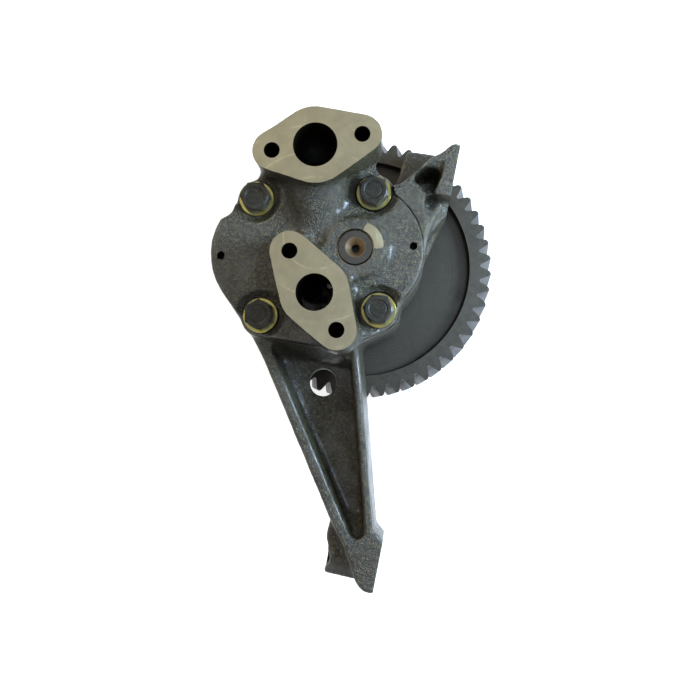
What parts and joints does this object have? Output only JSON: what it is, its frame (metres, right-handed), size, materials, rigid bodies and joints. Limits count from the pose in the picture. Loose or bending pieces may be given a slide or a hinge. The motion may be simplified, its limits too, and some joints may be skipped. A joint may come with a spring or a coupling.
{
  "type": "engine oil pump",
  "caption": "Engine oil pump: helical drive gear on a cast housing with two flanged ports in its cover, a long leg ending in a foot pad, and an ear pad.",
  "frame": {"origin": "on the drive shaft's axis, in the plane of the drive gear's back face", "axes": "+Z along the drive shaft toward the ported cover; +X the outward normal of the two mounting pads; +Y along the pads' plane, from the foot toward the ear"},
  "size_m": [0.1854, 0.3043, 0.122],
  "materials": {
    "cast_housing": "oily sand-cast",
    "cast_cover": "oily sand-cast with machined faces",
    "gear_steel": "oiled machined steel",
    "ground_steel": "ground",
    "dark_steel": "oiled",
    "bronze": "machined",
    "black_bolt": "black oxide",
    "yellow_zinc": "yellow passivated zinc",
    "dark_spring_steel": "black oxide"
  },
  "bodies": {
    "housing": {"pump_body": "cast_housing", "pump_cover": "cast_cover", "body_bush": "bronze", "cover_bush": "bronze", "idler_shaft": "ground_steel", "dowel_pin_1": "ground_steel", "dowel_pin_2": "ground_steel", "cover_bolt_1": "black_bolt", "cover_bolt_2": "black_bolt", "cover_bolt_3": "black_bolt", "cover_bolt_4": "black_bolt", "flat_washer_1": "yellow_zinc", "flat_washer_2": "yellow_zinc", "flat_washer_3": "yellow_zinc", "flat_washer_4": "yellow_zinc", "spring_washer_1": "dark_spring_steel", "spring_washer_2": "dark_spring_steel", "spring_washer_3": "dark_spring_steel", "spring_washer_4": "dark_spring_steel"},
    "drive_rotor": {"drive_shaft": "ground_steel", "drive_gear": "gear_steel", "drive_gear_key": "dark_steel", "drive_gear_nut": "dark_steel", "drive_gear_lock_washer": "dark_steel", "thrust_washer": "bronze", "driver_gear": "ground_steel", "driver_gear_key": "dark_steel"},
    "idler": {"idler_gear": "ground_steel", "idler_bush": "bronze"}
  },
  "joints": [
    {"name": "drive_spin", "type": "hinge", "parent": "housing", "child": "drive_rotor", "pos_m": [0, 0, 0.06], "axis": [0, 0, 1], "continuous": true},
    {"name": "idler_spin", "type": "hinge", "parent": "housing", "child": "idler", "pos_m": [-0.04813, -0.01156, 0.064], "axis": [0, 0, 1], "continuous": true}
  ],
  "couplings": [
    {"joint": "idler_spin", "follows": "drive_spin", "ratio": -1}
  ]
}
